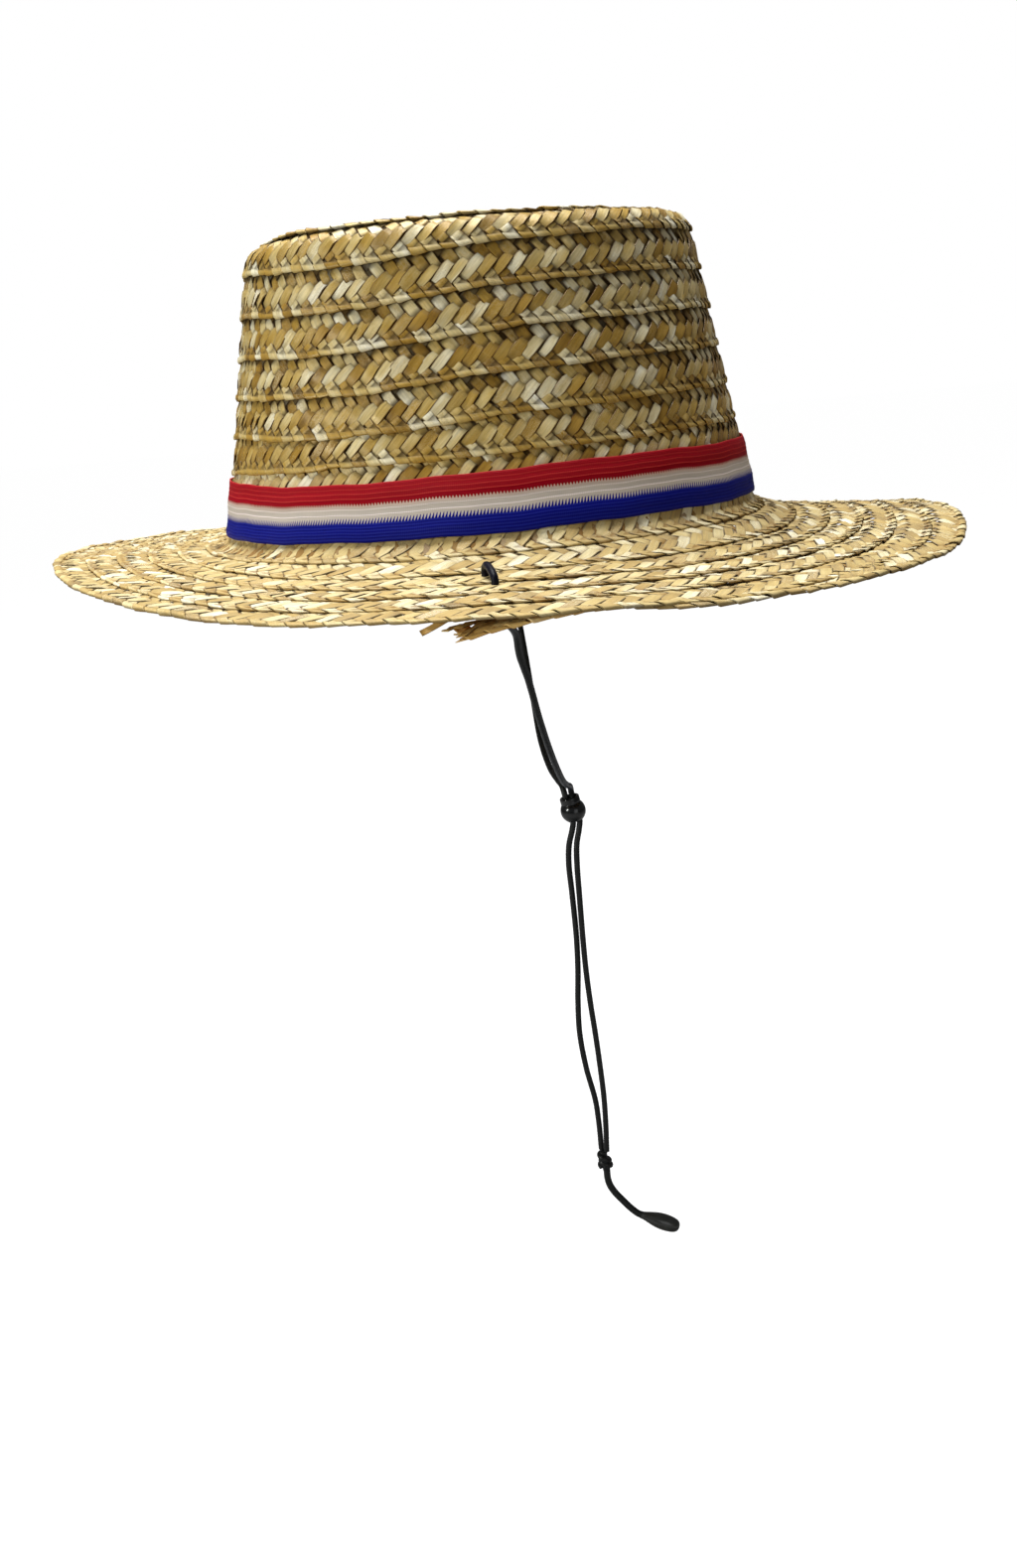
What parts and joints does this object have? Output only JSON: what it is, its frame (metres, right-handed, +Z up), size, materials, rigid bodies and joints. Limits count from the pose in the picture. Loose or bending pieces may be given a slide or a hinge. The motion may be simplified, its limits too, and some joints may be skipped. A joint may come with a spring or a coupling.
{
  "type": "chupalla",
  "caption": "Round, flat-topped straw hat with a wide brim sewn from a plait in a spiral, a striped ribbon round the crown and a black chin cord drawn through a bead.",
  "frame": {"origin": "middle of the head opening, level with the foot of the crown, where the hat sits on a head", "axes": "+Z up along the crown, -Y towards the front of the hat, -X towards the wearer's right"},
  "size_m": [0.3112, 0.3258, 0.4097],
  "materials": {
    "straw": "plaited wheat straw, satin, cream to olive and tan",
    "straw_end": "cut end of the straw plait, dry and frayed",
    "ribbon": "woven ribbon in three lengthwise stripes, red over off-white over blue",
    "cord": "round black braided cord, soft satin",
    "bead": "polished black"
  },
  "bodies": {
    "root": {"crown": "straw", "brim": "straw", "plait_end": "straw_end", "hat_band": "ribbon", "cord_loop_right": "cord", "cord_loop_left": "cord", "cord_knot_right": "cord", "cord_knot_left": "cord", "chin_cord_right": "cord", "chin_cord_left": "cord", "cord_bead": "bead", "tail_knot": "cord", "tail_end": "cord", "cord_drop": "bead"}
  },
  "joints": []
}
